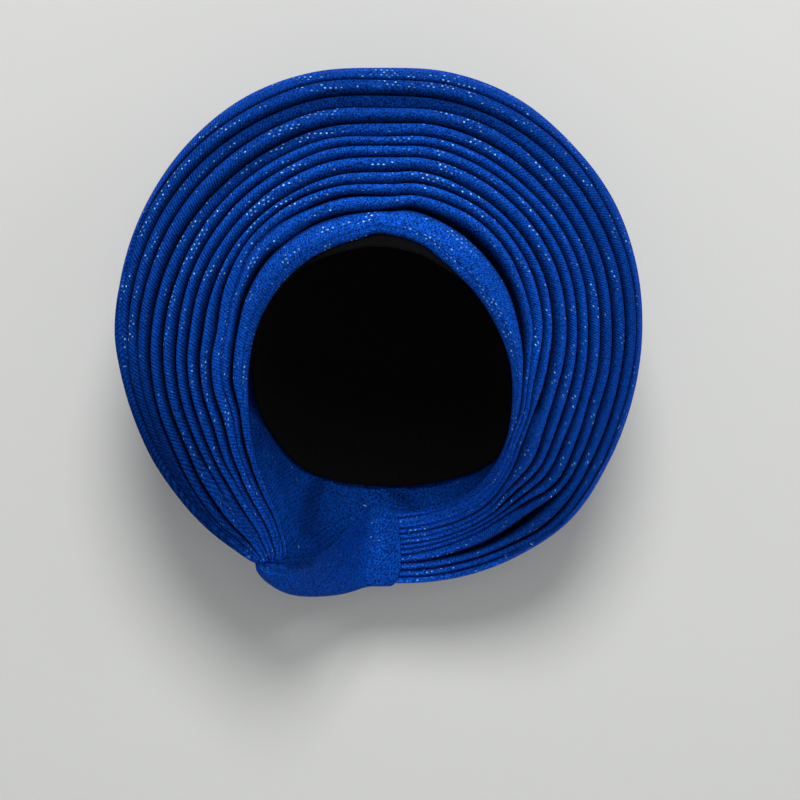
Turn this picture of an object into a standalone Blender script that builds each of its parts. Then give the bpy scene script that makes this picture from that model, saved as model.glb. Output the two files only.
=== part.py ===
# Tied gele head tie: one length of stiff cloth folded into twelve overlapping rows around the face,
# gathered at the lower left, with a smooth tail behind the neck and a thin black cap inside.
# Metres, +Z up, the face looks along -Y. The origin is the inside top of the cap.

import bpy
import bmesh
import math
from mathutils import Vector

# Driving sizes
RIM_RADIUS = 0.1435
HEAD_HALF_WIDTH = 0.074
HEAD_HALF_LENGTH = 0.097
HEAD_DOME = 0.118
NAPE_DROP = 0.105
CLOTH = 0.0013
CAP_WALL = 0.0012
FOLD_DEPTH = 0.0055
# Clearances between the pieces
GAP = 0.0004
COVER_OFF_RIM = 0.0007
COVER_OFF_CAP = 0.0014

# Centre of the rows as seen from the front, below the crown and a little to the left
ROWS_X = -0.013 * RIM_RADIUS
ROWS_Z = -0.62 * HEAD_DOME

# The face narrows towards the front by this share of the half width
FACE_TAPER = 0.10
# The face edge stands off the cap by this share of CLOTH, besides the clearance
EDGE_LIFT = 2.5
# The fan stands a little proud between its edge and its rim, as a share of that distance
FAN_BOW = 0.03

# Blue stretch brocade and black knit
BLUE = (0.010, 0.075, 0.480, 1.0)
BLUE_BACK = (0.009, 0.064, 0.420, 1.0)
BLACK = (0.010, 0.010, 0.012, 1.0)

# The rim seen as a clock, in degrees from the right and up over the top.
# turn, radius in RIM_RADIUS, depth in HEAD_HALF_LENGTH
RIM = (
    (-92.0, 0.985, 0.680),
    (-75.0, 1.005, 0.600),
    (-60.0, 1.016, 0.470),
    (-45.0, 1.018, 0.330),
    (-30.0, 0.997, 0.225),
    (-15.0, 0.988, 0.160),
    (0.0, 0.985, 0.115),
    (15.0, 0.990, 0.080),
    (30.0, 0.998, 0.040),
    (45.0, 1.002, 0.000),
    (60.0, 1.010, -0.030),
    (75.0, 1.000, -0.050),
    (90.0, 0.985, -0.060),
    (105.0, 1.003, -0.050),
    (120.0, 1.020, -0.030),
    (135.0, 1.018, 0.000),
    (150.0, 1.021, 0.040),
    (165.0, 1.019, 0.070),
    (180.0, 1.015, 0.100),
    (195.0, 1.004, 0.120),
    (210.0, 1.000, 0.135),
    (225.0, 1.012, 0.145),
    (240.0, 1.012, 0.135),
    (243.0, 1.003, 0.120),
    (250.0, 1.000, 0.300),
    (254.0, 0.998, 0.440),
    (258.0, 0.995, 0.560),
    (263.0, 0.990, 0.650),
    (268.0, 0.985, 0.680),
)

# The face edge of the fan, in the same columns
EDGE = (
    (-92.0, 0.715, 0.800),
    (-75.0, 0.717, 0.680),
    (-60.0, 0.709, 0.430),
    (-45.0, 0.652, 0.090),
    (-30.0, 0.569, -0.220),
    (-15.0, 0.503, -0.380),
    (0.0, 0.437, -0.485),
    (15.0, 0.388, -0.555),
    (30.0, 0.350, -0.620),
    (45.0, 0.330, -0.660),
    (60.0, 0.330, -0.670),
    (75.0, 0.328, -0.680),
    (90.0, 0.345, -0.680),
    (105.0, 0.333, -0.675),
    (120.0, 0.342, -0.640),
    (135.0, 0.363, -0.585),
    (150.0, 0.390, -0.510),
    (165.0, 0.425, -0.410),
    (180.0, 0.468, -0.300),
    (195.0, 0.515, -0.220),
    (210.0, 0.585, -0.160),
    (225.0, 0.690, -0.090),
    (234.0, 0.755, -0.040),
    (239.8, 0.820, 0.010),
    (243.7, 0.875, 0.060),
    (245.4, 0.915, 0.080),
    (245.7, 0.950, 0.100),
)

# Sections of the fan at the gather, where the line across the rows swings round the pinch.
# turn at the edge, turn at the rim, how far the rows are open
GATHER = (
    (245.7, 243.0, 0.00),
    (245.4, 242.0, 0.10),
    (243.7, 240.5, 0.30),
    (239.8, 237.8, 0.55),
    (234.0, 233.7, 0.85),
)
OPEN_SECTIONS = 26
OPEN_FROM = 225.0
OPEN_TO = -92.0
# The rows close up again between these turns on the way to the nape
CLOSING_FROM = -40.0
CLOSING_TO = -92.0
# The face edge is rolled under by this share of a full roll. turn, share
EDGE_CURL = (
    (-92.0, 0.0),
    (-43.0, 0.0),
    (-31.0, 0.35),
    (-19.0, 0.80),
    (-7.0, 1.0),
    (188.0, 1.0),
    (200.0, 0.80),
    (212.0, 0.35),
    (225.0, 0.0),
    (246.0, 0.0),
)

# Each fold between two rows, from the face edge out: its place across the fan, and below that its
# depth in FOLD_DEPTH, at these turns
FOLD_TURNS = (243.0, 210.0, 180.0, 135.0, 90.0, 45.0, 0.0, -40.0, -92.0)
FOLD_PLACES = {
    "forehead": (0.10, 0.152, 0.123, 0.158, 0.124, 0.193, 0.137, 0.100, 0.090),
    "second": (0.17, 0.200, 0.190, 0.255, 0.205, 0.281, 0.216, 0.140, 0.165),
    "third": (0.25, 0.248, 0.254, 0.309, 0.273, 0.340, 0.273, 0.180, 0.245),
    "fourth": (0.33, 0.343, 0.348, 0.365, 0.348, 0.400, 0.338, 0.225, 0.330),
    "fifth": (0.41, 0.448, 0.435, 0.430, 0.435, 0.480, 0.439, 0.375, 0.410),
    "sixth": (0.49, 0.543, 0.522, 0.509, 0.503, 0.544, 0.511, 0.462, 0.490),
    "seventh": (0.57, 0.648, 0.623, 0.576, 0.565, 0.608, 0.590, 0.548, 0.570),
    "eighth": (0.66, 0.762, 0.710, 0.650, 0.646, 0.683, 0.676, 0.673, 0.660),
    "ninth": (0.75, 0.830, 0.812, 0.758, 0.745, 0.766, 0.763, 0.750, 0.750),
    "tenth": (0.84, 0.890, 0.885, 0.842, 0.832, 0.848, 0.855, 0.850, 0.840),
    "outermost": (0.92, 0.945, 0.950, 0.930, 0.930, 0.935, 0.935, 0.930, 0.920),
}
FOLD_DEPTHS = {
    "forehead": (0.3, 0.8, 0.8, 0.9, 0.8, 0.9, 0.9, 0.2, 0.4),
    "second": (0.1, 0.1, 0.1, 0.5, 0.8, 0.8, 0.4, 0.1, 0.3),
    "third": (0.3, 0.6, 0.7, 0.6, 0.6, 0.7, 0.8, 0.2, 0.3),
    "fourth": (0.4, 0.8, 0.9, 0.9, 1.0, 1.0, 1.0, 1.2, 0.4),
    "fifth": (0.4, 0.8, 0.8, 0.8, 0.8, 0.8, 0.8, 0.9, 0.4),
    "sixth": (0.4, 0.8, 0.8, 0.8, 0.7, 0.7, 0.8, 0.8, 0.4),
    "seventh": (0.4, 0.8, 0.8, 0.8, 0.8, 0.8, 0.8, 0.8, 0.4),
    "eighth": (0.5, 1.0, 1.0, 1.1, 1.1, 1.0, 1.0, 1.0, 0.4),
    "ninth": (0.2, 0.2, 0.6, 0.8, 0.8, 0.8, 0.8, 1.2, 0.4),
    "tenth": (0.1, 0.1, 0.5, 0.9, 1.1, 0.9, 0.8, 0.8, 0.3),
    "outermost": (0.1, 0.1, 0.3, 0.5, 0.6, 0.6, 0.6, 0.7, 0.3),
}
# No fold is deeper than these shares of its row, open or packed
DEEPEST_OPEN = 0.75
DEEPEST_PACKED = 0.45

# One row across, from the fold at its inner side: the foot of the fold, its underside, its rounded
# edge, the crest and the slope that runs down under the next row.
# place across the row, change of place where the fold overhangs, height in fold depths,
# True where that depth is the next fold's
ROW = (
    (0.030, 0.000, -1.00, False),
    (0.055, -0.085, -0.42, False),
    (0.130, -0.030, 0.02, False),
    (0.420, 0.000, 0.00, True),
    (0.860, 0.000, -0.74, True),
)

# The rolled face edge and the rolled rim, and the same where the cloth ends flat, in CLOTH.
# face across, face height, back across, back height
EDGE_ROLL = (
    (2.1, -2.6, 2.1, -1.6),
    (0.4, -2.3, 1.1, -1.55),
    (-0.3, -1.2, 0.75, -1.3),
    (0.4, -0.1, 1.1, -1.0),
)
EDGE_FLAT = (
    (0.0, -1.5, 0.3, -1.5),
    (0.0, -1.05, 0.6, -1.5),
    (0.0, -0.6, 0.9, -1.5),
    (0.0, -0.15, 1.2, -1.5),
)
RIM_ROLL = (
    (-2.2, -0.2, -2.6, -1.15),
    (-0.2, -1.7, -1.15, -2.1),
    (0.0, -4.1, -1.0, -3.8),
    (-1.7, -6.1, -2.1, -5.15),
    (-4.4, -6.5, -4.5, -5.5),
)
RIM_FLAT = (
    (0.0, 0.0, -1.5, -1.5),
    (0.0, -0.4, -1.2, -1.5),
    (0.0, -0.8, -0.9, -1.5),
    (0.0, -1.2, -0.6, -1.5),
    (0.0, -1.5, -0.3, -1.5),
)
ROLL_DEPTH = 6.5

# The tail, from the pinch to its open mouth at the nape. Upper line, lower line, half thickness.
# turn, radius in RIM_RADIUS, depth in HEAD_HALF_LENGTH, twice over, then CLOTH
TAIL = (
    (246.1, 0.951, 0.100, 243.1, 1.011, 0.120, 1.7),
    (247.2, 0.949, 0.115, 243.8, 1.036, 0.130, 2.6),
    (249.5, 0.925, 0.170, 246.2, 1.056, 0.180, 3.8),
    (252.5, 0.890, 0.250, 249.8, 1.070, 0.250, 4.5),
    (256.0, 0.850, 0.380, 254.0, 1.068, 0.355, 4.5),
    (261.5, 0.765, 0.620, 261.0, 1.045, 0.570, 3.9),
    (267.0, 0.688, 0.823, 267.0, 1.018, 0.681, 3.5),
    (273.5, 0.684, 0.800, 273.5, 1.018, 0.655, 3.5),
)
TAIL_POINTS = 18
TAIL_SQUARENESS = 3.2

# The cover over the back of the head
COVER_SECTIONS = 48
COVER_FLARE_RINGS = 5
COVER_DOME_RINGS = 6
COVER_FOLDS = 12
COVER_FOLD_HEIGHT = 0.0028
# The folds run together low on the back of the head, this share of the way down to the nape
COVER_CENTRE = 0.42
# The cover meets the head form at least this far back, and this far behind its start at the rim,
# in HEAD_HALF_LENGTH
COVER_TOUCH = 0.50
COVER_SLOPE = 0.124
# Behind the tail it starts this far inside the rim, in RIM_RADIUS, and this far behind it, in CLOTH
COVER_TUCK_RADIUS = 0.955
COVER_TUCK_DEPTH = 9.0

# The cap
CAP_SECTIONS = 40
CAP_RINGS = 8
# Its rim, round the head from the left over the forehead to the right and back round the nape.
# turn seen from above with the forehead at -90, height in HEAD_DOME
CAP_RIM = (
    (-200.0, -0.900),
    (-180.0, -0.640),
    (-163.0, -0.490),
    (-141.0, -0.391),
    (-124.0, -0.335),
    (-107.0, -0.295),
    (-92.0, -0.278),
    (-74.0, -0.312),
    (-65.0, -0.358),
    (-54.0, -0.418),
    (-40.0, -0.500),
    (-28.0, -0.620),
    (-17.0, -0.780),
    (0.0, -0.970),
    (30.0, -1.170),
    (60.0, -1.310),
    (90.0, -1.360),
    (120.0, -1.290),
    (140.0, -1.120),
    (160.0, -0.900),
    (180.0, -0.640),
    (197.0, -0.490),
)


# Smooth reading of a table: the first column is the place, the others the values
def smooth(table, place):
    rows = sorted(table)
    place = min(max(place, rows[0][0]), rows[-1][0])
    at = 0
    while at < len(rows) - 2 and place > rows[at + 1][0]:
        at += 1
    before = rows[max(at - 1, 0)]
    low = rows[at]
    high = rows[at + 1]
    after = rows[min(at + 2, len(rows) - 1)]
    span = high[0] - low[0]
    part = (place - low[0]) / span
    values = []
    for column in range(1, len(low)):
        rise_low = (high[column] - before[column]) / (high[0] - before[0]) * span
        rise_high = (after[column] - low[column]) / (after[0] - low[0]) * span
        values.append(
            (2 * part ** 3 - 3 * part ** 2 + 1) * low[column]
            + (part ** 3 - 2 * part ** 2 + part) * rise_low
            + (3 * part ** 2 - 2 * part ** 3) * high[column]
            + (part ** 3 - part ** 2) * rise_high
        )
    return values


def mix(first, second, part):
    return first + (second - first) * part


def ease(part):
    part = min(max(part, 0.0), 1.0)
    return part * part * (3.0 - 2.0 * part)


# The room the head takes: under 1 inside it. The form can be grown by a distance.
def head_level(x, y, z, grown):
    height = z + HEAD_DOME
    half_width = HEAD_HALF_WIDTH * (1.0 + FACE_TAPER * min(y, 0.0) / HEAD_HALF_LENGTH)
    tall = HEAD_DOME if height > 0.0 else NAPE_DROP
    return (
        (x / (half_width + grown)) ** 2
        + (y / (HEAD_HALF_LENGTH + grown)) ** 2
        + (height / (tall + grown)) ** 2
    )


# Point at a turn and a radius about the centre of the rows
def clock_point(turn, radius, depth):
    angle = math.radians(turn)
    return Vector((ROWS_X + radius * math.cos(angle), depth, ROWS_Z + radius * math.sin(angle)))


# Radius at which a turn leaves the grown head form at a depth
def reach(turn, depth, grown):
    inside = 0.0
    outside = 2.0 * RIM_RADIUS
    for step in range(30):
        middle = (inside + outside) / 2.0
        point = clock_point(turn, middle, depth)
        if head_level(point.x, point.y, point.z, grown) < 1.0:
            inside = middle
        else:
            outside = middle
    return outside


def rim_point(turn):
    radius, depth = smooth(RIM, turn)
    return clock_point(turn, radius * RIM_RADIUS, depth * HEAD_HALF_LENGTH)


# The face edge, lifted off the cap where the cap lies under it
def edge_point(turn):
    radius, depth = smooth(EDGE, turn)
    radius *= RIM_RADIUS
    depth *= HEAD_HALF_LENGTH
    lift = CAP_WALL + GAP + EDGE_LIFT * CLOTH
    above = ease((min(turn, 180.0 - turn) + 15.0) / 30.0)
    radius = mix(radius, max(radius, reach(turn, depth, lift)), above)
    return clock_point(turn, radius, depth)


# Axes of a section between two points: across, and square to it towards the front
def section_axes(inner, outer, turn):
    across = (outer - inner).normalized()
    angle = math.radians(turn)
    along = Vector((-math.sin(angle), 0.0, math.cos(angle)))
    front = across.cross(along).normalized()
    if front.y > 0.0:
        front = -front
    return across, front


# Wall of a section: every point moved square to the line by the wall, less at tight corners
def inner_line(line, wall):
    moved = []
    for at in range(len(line)):
        sides = []
        for low, high in ((at - 1, at), (at, at + 1)):
            if low >= 0 and high < len(line):
                step = (line[high][0] - line[low][0], line[high][1] - line[low][1])
                length = math.hypot(step[0], step[1])
                sides.append((step[1] / length, -step[0] / length))
        across = sum(side[0] for side in sides) / len(sides)
        height = sum(side[1] for side in sides) / len(sides)
        size = max(math.hypot(across, height), 0.62)
        shift = wall / (size * math.hypot(across, height))
        moved.append((line[at][0] + across * shift, line[at][1] + height * shift))
    return moved


# The rolled end of the wall at one section, between its flat and its rolled form
def curled(rolled, flat, start, step, share, room, width):
    points = []
    for roll, end in zip(rolled, flat):
        near = -room if roll[1] > -2.0 else -width
        points.append((
            start + mix(end[0] * step, max(roll[0] * CLOTH, near), share),
            mix(end[1], roll[1], share) * CLOTH,
            start + mix(end[2] * step, max(roll[2] * CLOTH, near), share),
            mix(end[3], roll[3], share) * CLOTH,
        ))
    return points


# Both faces of the folded wall at one section, as places across and heights. Where a row is packed,
# narrow or shallow, its back lies flat instead of following the fold.
def fan_lines(width, turn, opened):
    places = [0.0]
    depths = [0.0]
    for name in FOLD_PLACES:
        table = [(t, p, d) for t, p, d in zip(FOLD_TURNS, FOLD_PLACES[name], FOLD_DEPTHS[name])]
        place, depth = smooth(table, turn)
        places.append(place * width)
        depths.append(depth * FOLD_DEPTH)
    places.append(width)
    depths.append(0.0)
    deepest = mix(DEEPEST_PACKED, DEEPEST_OPEN, opened)
    for at in range(1, len(places) - 1):
        row = min(places[at] - places[at - 1], places[at + 1] - places[at])
        depths[at] = max(min(depths[at], deepest * row), 0.04 * CLOTH)
    last_row = places[-1] - places[-2]
    edge_curl = smooth(EDGE_CURL, turn)[0]
    rim_curl = ease(opened)

    edge = curled(EDGE_ROLL, EDGE_FLAT, 0.0, min(CLOTH, 0.33 * places[1]), edge_curl, width, width)
    rim = curled(RIM_ROLL, RIM_FLAT, width, min(CLOTH, 0.5 * last_row), rim_curl, 0.5 * last_row, width)

    face = []
    flat_back = []
    free = []
    for at in range(len(places) - 1):
        row = places[at + 1] - places[at]
        for across, overhang, height, is_next in ROW:
            if at == 0 and not is_next:
                continue
            if at == len(places) - 2 and is_next:
                continue
            depth = depths[at + 1] if is_next else depths[at]
            follows = opened * ease((row / CLOTH - 2.6) / 2.0) * ease((depth / CLOTH - 0.8) / 1.4)
            place = places[at] + (across + overhang * follows) * row
            face.append((place, height * depth))
            flat_back.append((places[at] + across * row, -CLOTH - depth))
            free.append(follows)

    square = inner_line([edge[-1][:2]] + face + [rim[0][:2]], CLOTH)[1:-1]
    back = [
        (mix(flat[0], point[0], share), mix(flat[1], point[1], share))
        for point, flat, share in zip(square, flat_back, free)
    ]
    face = [point[:2] for point in edge] + face + [point[:2] for point in rim]
    back = [point[2:] for point in edge] + back + [point[2:] for point in rim]
    return face, back


def fan_sections():
    sections = [row for row in GATHER]
    for step in range(OPEN_SECTIONS + 1):
        turn = mix(OPEN_FROM, OPEN_TO, step / OPEN_SECTIONS)
        closing = ease((turn - CLOSING_TO) / (CLOSING_FROM - CLOSING_TO))
        sections.append((turn, turn, closing))
    return sections


# Mesh object from points and faces, with its own material
def add_object(name, points, faces, colour, roughness):
    mesh = bpy.data.meshes.new(name)
    shape = bmesh.new()
    corners = [shape.verts.new(point) for point in points]
    for face in faces:
        shape.faces.new([corners[index] for index in face])
    bmesh.ops.recalc_face_normals(shape, faces=shape.faces)
    bmesh.ops.triangulate(shape, faces=shape.faces)
    shape.to_mesh(mesh)
    shape.free()
    mesh.shade_smooth()
    mesh.set_sharp_from_angle(angle=math.radians(50.0))
    material = bpy.data.materials.new(name)
    material.use_nodes = True
    shader = material.node_tree.nodes["Principled BSDF"]
    shader.inputs["Base Color"].default_value = colour
    shader.inputs["Roughness"].default_value = roughness
    shader.inputs["Metallic"].default_value = 0.0
    mesh.materials.append(material)
    made = bpy.data.objects.new(name, mesh)
    bpy.context.scene.collection.objects.link(made)
    return made


# Faces between two rows of points of a grid that has this many points a row
def strip(row_size, first, second, closed):
    faces = []
    for at in range(row_size if closed else row_size - 1):
        after = (at + 1) % row_size
        faces.append((first + at, first + after, second + after, second + at))
    return faces


# The fan: one folded wall carried from the gather, over the top and round to the nape
def add_fan():
    points = []
    size = 0
    for edge_turn, rim_turn, opened in fan_sections():
        inner = edge_point(edge_turn)
        outer = rim_point(rim_turn)
        width = (outer - inner).length
        turn = (edge_turn + rim_turn) / 2.0
        across, front = section_axes(inner, outer, turn)
        face, back = fan_lines(width, turn, opened)
        loop = face + back[::-1]
        size = len(loop)
        for place, height in loop:
            share = min(max(place / width, 0.0), 1.0)
            bow = opened * FAN_BOW * width * 4.0 * share * (1.0 - share)
            points.append(inner + across * place + front * (height + bow))
    faces = []
    sections = len(points) // size
    for section in range(sections - 1):
        faces += strip(size, section * size, (section + 1) * size, True)
    half = size // 2
    for start in (0, (sections - 1) * size):
        for at in range(half - 1):
            faces.append(
                (start + at, start + at + 1, start + size - 2 - at, start + size - 1 - at)
            )
    return add_object("pleated_fan", points, faces, BLUE, 0.45)


# The tail: a rounded sleeve, closed at the pinch and open at the nape around the end of the rows
def add_tail():
    rings = []
    for wall in (0.0, CLOTH):
        for at, row in enumerate(TAIL):
            if wall > 0.0 and at == 0:
                continue
            upper = clock_point(row[0], row[1] * RIM_RADIUS, row[2] * HEAD_HALF_LENGTH)
            lower = clock_point(row[3], row[4] * RIM_RADIUS, row[5] * HEAD_HALF_LENGTH)
            across, front = section_axes(upper, lower, (row[0] + row[3]) / 2.0)
            half_height = (lower - upper).length / 2.0 - wall
            half_depth = row[6] * CLOTH - wall
            ring = []
            for point in range(TAIL_POINTS):
                angle = 2.0 * math.pi * point / TAIL_POINTS
                side = math.cos(angle)
                rise = math.sin(angle)
                size = (abs(side) ** TAIL_SQUARENESS + abs(rise) ** TAIL_SQUARENESS) ** (
                    -1.0 / TAIL_SQUARENESS
                )
                ring.append(
                    (upper + lower) / 2.0
                    + across * (side * size * half_height)
                    + front * (rise * size * half_depth)
                )
            rings.append(ring)
    outer = rings[:len(TAIL)]
    inner = rings[len(TAIL):]
    ordered = outer + inner[::-1]
    points = [point for ring in ordered for point in ring]
    faces = []
    for at in range(len(ordered) - 1):
        faces += strip(TAIL_POINTS, at * TAIL_POINTS, (at + 1) * TAIL_POINTS, True)
    last = (len(ordered) - 1) * TAIL_POINTS
    faces.append([at for at in range(TAIL_POINTS)])
    faces.append([last + at for at in range(TAIL_POINTS)])
    return add_object("gathered_tail", points, faces, BLUE, 0.45)


# Where the cover starts, just behind the rolled rim or behind the tail
def cover_start(turn):
    clock = turn if turn <= 268.0 else turn - 360.0
    outer = rim_point(clock)
    if -92.0 <= clock <= 243.0:
        inner = edge_point(clock)
    else:
        inner = clock_point(clock, 0.72 * RIM_RADIUS, outer.y + 0.10 * HEAD_HALF_LENGTH)
    across, front = section_axes(inner, outer, clock)
    open_start = outer - across * (4.6 * CLOTH) - front * (ROLL_DEPTH * CLOTH + COVER_OFF_RIM)
    hidden = clock_point(clock, COVER_TUCK_RADIUS * RIM_RADIUS, outer.y + COVER_TUCK_DEPTH * CLOTH)
    covered = ease((clock - 226.0) / 14.0) if clock > 90.0 else ease((-45.0 - clock) / 25.0)
    return open_start.lerp(hidden, covered)


# The cover: from behind the rim to the back of the head, where its soft folds run together
def add_cover():
    offset = CAP_WALL + COVER_OFF_CAP
    centre = Vector((ROWS_X, 0.0, mix(ROWS_Z, -HEAD_DOME - NAPE_DROP, COVER_CENTRE)))
    rows = COVER_FLARE_RINGS + COVER_DOME_RINGS
    grids = []
    for wall in (0.0, CLOTH):
        grown = offset + wall
        grid = []
        for section in range(COVER_SECTIONS):
            turn = 360.0 * section / COVER_SECTIONS
            start = cover_start(turn)
            start = start + Vector((0.0, 1.0, 0.0)) * wall
            touch_depth = max(COVER_TOUCH * HEAD_HALF_LENGTH, start.y + COVER_SLOPE * HEAD_HALF_LENGTH)
            touch_radius = reach(turn, touch_depth, grown)
            touch = clock_point(turn, touch_radius, touch_depth)
            wave = 0.5 + 0.5 * math.cos(math.radians(turn) * COVER_FOLDS)
            line = []
            for step in range(rows):
                if step < COVER_FLARE_RINGS:
                    part = step / COVER_FLARE_RINGS
                    sag = 0.06 * (touch - start).length * math.sin(math.pi * part)
                    point = start.lerp(touch, part) - Vector((0.0, 1.0, 0.0)) * sag
                else:
                    part = (step - COVER_FLARE_RINGS) / COVER_DOME_RINGS
                    flat_x = mix(touch.x, centre.x, part)
                    flat_z = mix(touch.z, centre.z, part)
                    level = head_level(flat_x, 0.0, flat_z, grown)
                    depth = (HEAD_HALF_LENGTH + grown) * math.sqrt(max(1.0 - level, 0.0))
                    point = Vector((flat_x, depth, flat_z))
                whole = step / rows
                lift = COVER_FOLD_HEIGHT * wave * math.sin(math.pi * whole) ** 0.8
                line.append(point + Vector((0.0, 1.0, 0.0)) * lift)
            grid.append(line)
        level = head_level(centre.x, 0.0, centre.z, grown)
        tip = Vector((centre.x, (HEAD_HALF_LENGTH + grown) * math.sqrt(1.0 - level), centre.z))
        grids.append((grid, tip))
    points = []
    faces = []
    for grid, tip in grids:
        base = len(points)
        for step in range(rows):
            points += [grid[section][step] for section in range(COVER_SECTIONS)]
        points.append(tip)
        for step in range(rows - 1):
            first = base + step * COVER_SECTIONS
            faces += strip(COVER_SECTIONS, first, first + COVER_SECTIONS, True)
        last = base + (rows - 1) * COVER_SECTIONS
        for section in range(COVER_SECTIONS):
            faces.append((last + section, last + (section + 1) % COVER_SECTIONS, len(points) - 1))
    faces += strip(COVER_SECTIONS, 0, len(points) // 2, True)
    return add_object("back_cover", points, faces, BLUE_BACK, 0.5)


# A point of the head form from its middle, by direction
def cap_point(angle, down, grown):
    direction = Vector((math.cos(angle) * math.sin(down), math.sin(angle) * math.sin(down), math.cos(down)))
    near = 0.0
    far = 2.0 * HEAD_DOME
    for step in range(30):
        middle = (near + far) / 2.0
        point = direction * middle
        if head_level(point.x, point.y, point.z - HEAD_DOME, grown) < 1.0:
            near = middle
        else:
            far = middle
    return direction * far - Vector((0.0, 0.0, HEAD_DOME))


# The cap: an open dome with a thin wall, cut low at the nape and high at the forehead
def add_cap():
    grids = []
    for grown in (0.0, CAP_WALL):
        grid = []
        for section in range(CAP_SECTIONS):
            angle = 2.0 * math.pi * section / CAP_SECTIONS
            turn = 360.0 * section / CAP_SECTIONS
            rim_height = smooth(CAP_RIM, turn if turn <= 180.0 else turn - 360.0)[0] * HEAD_DOME
            high = 0.0
            low = math.radians(150.0)
            for step in range(30):
                middle = (high + low) / 2.0
                point = cap_point(angle, middle, 0.0)
                if point.z > rim_height:
                    high = middle
                else:
                    low = middle
            line = []
            for ring in range(1, CAP_RINGS + 1):
                line.append(cap_point(angle, low * ring / CAP_RINGS, grown))
            grid.append(line)
        grids.append((grid, cap_point(0.0, 0.0, grown)))
    points = []
    faces = []
    for grid, top in grids:
        base = len(points)
        for ring in range(CAP_RINGS):
            points += [grid[section][ring] for section in range(CAP_SECTIONS)]
        points.append(top)
        for ring in range(CAP_RINGS - 1):
            first = base + ring * CAP_SECTIONS
            faces += strip(CAP_SECTIONS, first, first + CAP_SECTIONS, True)
        for section in range(CAP_SECTIONS):
            faces.append((base + section, base + (section + 1) % CAP_SECTIONS, len(points) - 1))
    rim = (CAP_RINGS - 1) * CAP_SECTIONS
    faces += strip(CAP_SECTIONS, rim, rim + len(points) // 2, True)
    return add_object("inner_cap", points, faces, BLACK, 0.9)


for old in list(bpy.context.scene.objects):
    bpy.data.objects.remove(old, do_unlink=True)

add_cap()
add_fan()
add_cover()
add_tail()
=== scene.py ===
# Tied gele head tie: blue brocade rows, back cover and tail over a black knit cap.
# Metres, +Z up, the opening looks along -Y, the origin is the inside top of the cap.
import math
import bmesh
import bpy
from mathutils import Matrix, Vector, noise


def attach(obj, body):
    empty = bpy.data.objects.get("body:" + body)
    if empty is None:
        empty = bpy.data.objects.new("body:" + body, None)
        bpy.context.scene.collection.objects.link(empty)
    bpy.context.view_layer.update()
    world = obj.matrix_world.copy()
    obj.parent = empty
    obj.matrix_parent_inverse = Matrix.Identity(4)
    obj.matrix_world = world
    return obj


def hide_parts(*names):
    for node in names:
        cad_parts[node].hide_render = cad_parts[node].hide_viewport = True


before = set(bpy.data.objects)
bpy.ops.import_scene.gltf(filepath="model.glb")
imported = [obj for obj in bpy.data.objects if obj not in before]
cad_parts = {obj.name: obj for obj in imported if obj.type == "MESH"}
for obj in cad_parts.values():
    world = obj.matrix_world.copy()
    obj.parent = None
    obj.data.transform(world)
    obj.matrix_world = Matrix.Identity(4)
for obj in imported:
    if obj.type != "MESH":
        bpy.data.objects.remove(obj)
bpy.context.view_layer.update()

print("frame loaded:", sorted(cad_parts))

# the hollow that the cap leaves open, the walls, and the centre of the rows seen from the front
hollowForm = {"halfWidth": 0.074, "halfLength": 0.097, "dome": 0.118, "napeDrop": 0.105, "frontTaper": 0.10}
walls = {"cloth": 0.0013, "cap": 0.0012, "gap": 0.0004}
rows = {"rimRadius": 0.1435, "centreX": -0.001866, "centreZ": -0.07316}
mm = 1000.0  # in a metre, for the thread maps


def readTable(table, place):  # smooth reading between the rows of a table
    place = min(max(place, table[0][0]), table[-1][0])
    at = 0
    while at < len(table) - 2 and place > table[at + 1][0]:
        at += 1
    before, low = table[max(at - 1, 0)], table[at]
    high, after = table[at + 1], table[min(at + 2, len(table) - 1)]
    span = high[0] - low[0]
    part = (place - low[0]) / span
    values = []
    for column in range(1, len(low)):
        riseLow = (high[column] - before[column]) / (high[0] - before[0]) * span
        riseHigh = (after[column] - low[column]) / (after[0] - low[0]) * span
        values.append(
            (2 * part ** 3 - 3 * part ** 2 + 1) * low[column] + (part ** 3 - 2 * part ** 2 + part) * riseLow
            + (3 * part ** 2 - 2 * part ** 3) * high[column] + (part ** 3 - part ** 2) * riseHigh
        )
    return values


def mix(first, second, part):
    return first + (second - first) * part


def ease(part):
    part = min(max(part, 0.0), 1.0)
    return part * part * (3.0 - 2.0 * part)


def drift(*place):  # slow seeded unevenness between -1 and 1
    return noise.noise(Vector(place))


def hollowLevel(x, y, z, grown):  # under 1 inside the hollow
    height = z + hollowForm["dome"]
    taper = hollowForm["frontTaper"] * min(y, 0.0) / hollowForm["halfLength"]
    halfWidth = hollowForm["halfWidth"] * (1.0 + taper)
    tall = hollowForm["dome"] if height > 0.0 else hollowForm["napeDrop"]
    return (
        (x / (halfWidth + grown)) ** 2 + (y / (hollowForm["halfLength"] + grown)) ** 2
        + (height / (tall + grown)) ** 2
    )


def clockPoint(turn, radius, depth):
    angle = math.radians(turn)
    return Vector((
        rows["centreX"] + radius * math.cos(angle), depth, rows["centreZ"] + radius * math.sin(angle)
    ))


def reach(turn, depth, grown):  # radius at which a turn leaves the grown hollow
    inside, outside = 0.0, 2.0 * rows["rimRadius"]
    for step in range(24):
        middle = (inside + outside) / 2.0
        point = clockPoint(turn, middle, depth)
        if hollowLevel(point.x, point.y, point.z, grown) < 1.0:
            inside = middle
        else:
            outside = middle
    return outside


def sectionAxes(inner, outer, turn):
    across = (outer - inner).normalized()
    angle = math.radians(turn)
    front = across.cross(Vector((-math.sin(angle), 0.0, math.cos(angle)))).normalized()
    return across, front if front.y < 0.0 else -front


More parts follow.
